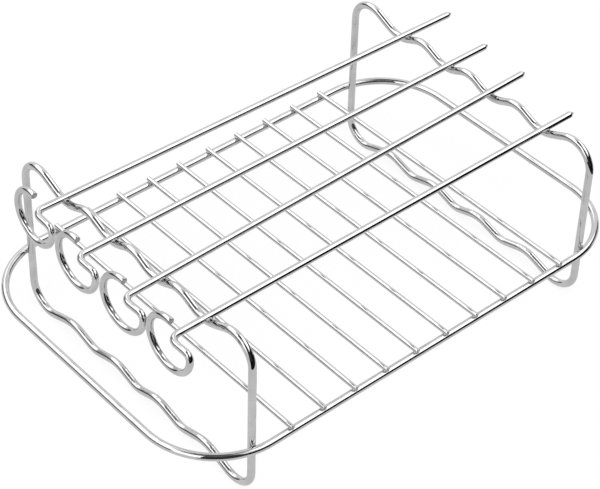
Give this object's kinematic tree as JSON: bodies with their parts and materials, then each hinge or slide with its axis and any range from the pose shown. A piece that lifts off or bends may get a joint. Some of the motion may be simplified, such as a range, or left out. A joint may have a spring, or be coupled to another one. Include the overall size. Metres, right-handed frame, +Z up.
{
  "type": "air fryer rack",
  "caption": "Wire rack for a basket air fryer: a rounded ring with a welded grid between two wavy end frames whose notches carry removable loop-handled skewers.",
  "frame": {"origin": "on the surface the rack stands on, under the middle of the ring", "axes": "+X along the skewers towards their points, +Y across the rack, +Z up"},
  "size_m": [0.217, 0.1412, 0.081],
  "materials": {
    "ring_wire": "bright stainless steel",
    "frame_wire": "bright stainless steel",
    "grid_wire": "bright stainless steel",
    "skewer_wire": "polished stainless steel"
  },
  "bodies": {
    "root": {"base_ring": "ring_wire", "front_end_frame": "frame_wire", "rear_end_frame": "frame_wire", "cross_wire_1": "grid_wire", "cross_wire_2": "grid_wire", "cross_wire_3": "grid_wire", "cross_wire_4": "grid_wire", "cross_wire_5": "grid_wire", "cross_wire_6": "grid_wire", "cross_wire_7": "grid_wire", "cross_wire_8": "grid_wire", "cross_wire_9": "grid_wire", "cross_wire_10": "grid_wire", "skewer_1": "skewer_wire", "skewer_2": "skewer_wire", "skewer_3": "skewer_wire", "skewer_4": "skewer_wire"}
  },
  "joints": []
}
